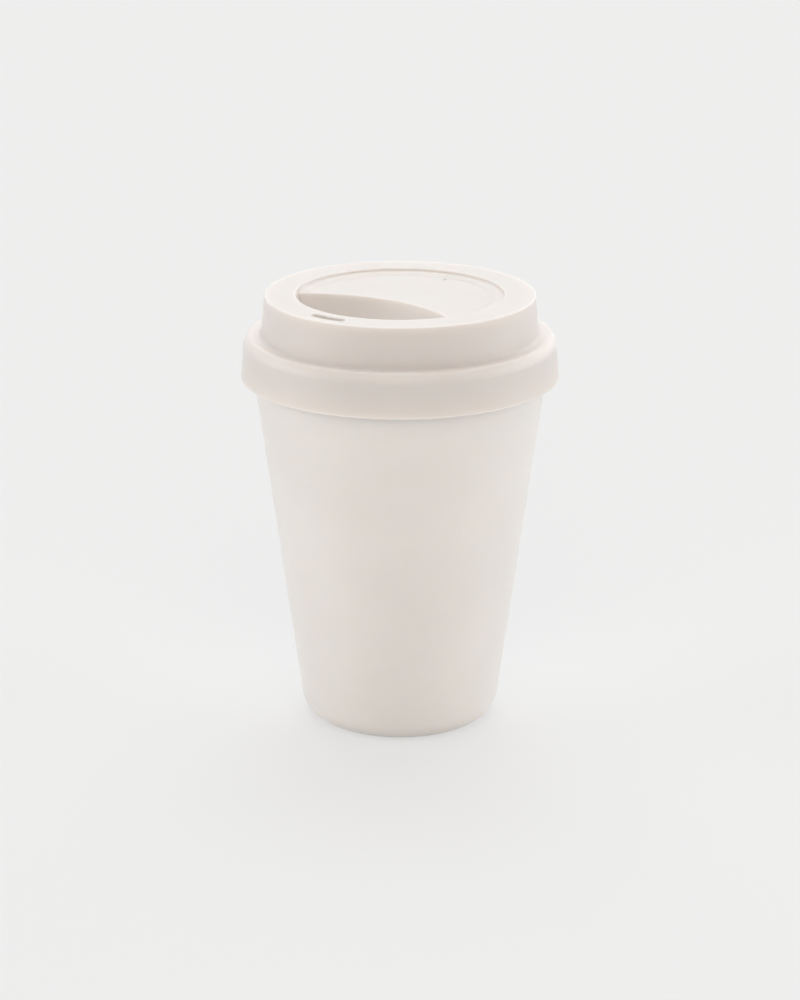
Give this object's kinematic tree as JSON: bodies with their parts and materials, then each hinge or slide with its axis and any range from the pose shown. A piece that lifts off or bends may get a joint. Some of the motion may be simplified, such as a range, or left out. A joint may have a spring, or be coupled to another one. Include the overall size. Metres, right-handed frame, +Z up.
{
  "type": "double-walled plastic mug",
  "caption": "Double-walled tapered plastic mug with a press-on drinking lid that has a lip pocket, a curved slot and a vent hole.",
  "frame": {"origin": "on the mug's axis, at the plane that it stands on", "axes": "+Z up along the mug's axis, -Y towards the lid's drinking slot, +X to the right of a person who faces the slot"},
  "size_m": [0.0912, 0.0912, 0.1269],
  "materials": {
    "shell_plastic": "satin, ivory white",
    "liner_plastic": "satin, white",
    "lid_plastic": "satin, warm white"
  },
  "bodies": {
    "mug": {"outer_shell": "shell_plastic", "inner_liner": "liner_plastic"},
    "lid": {"lid": "lid_plastic"}
  },
  "joints": [
    {"name": "lid_lift", "type": "slide", "parent": "mug", "child": "lid", "axis": [0, 0, 1], "range_m": [0, 0.05]}
  ]
}
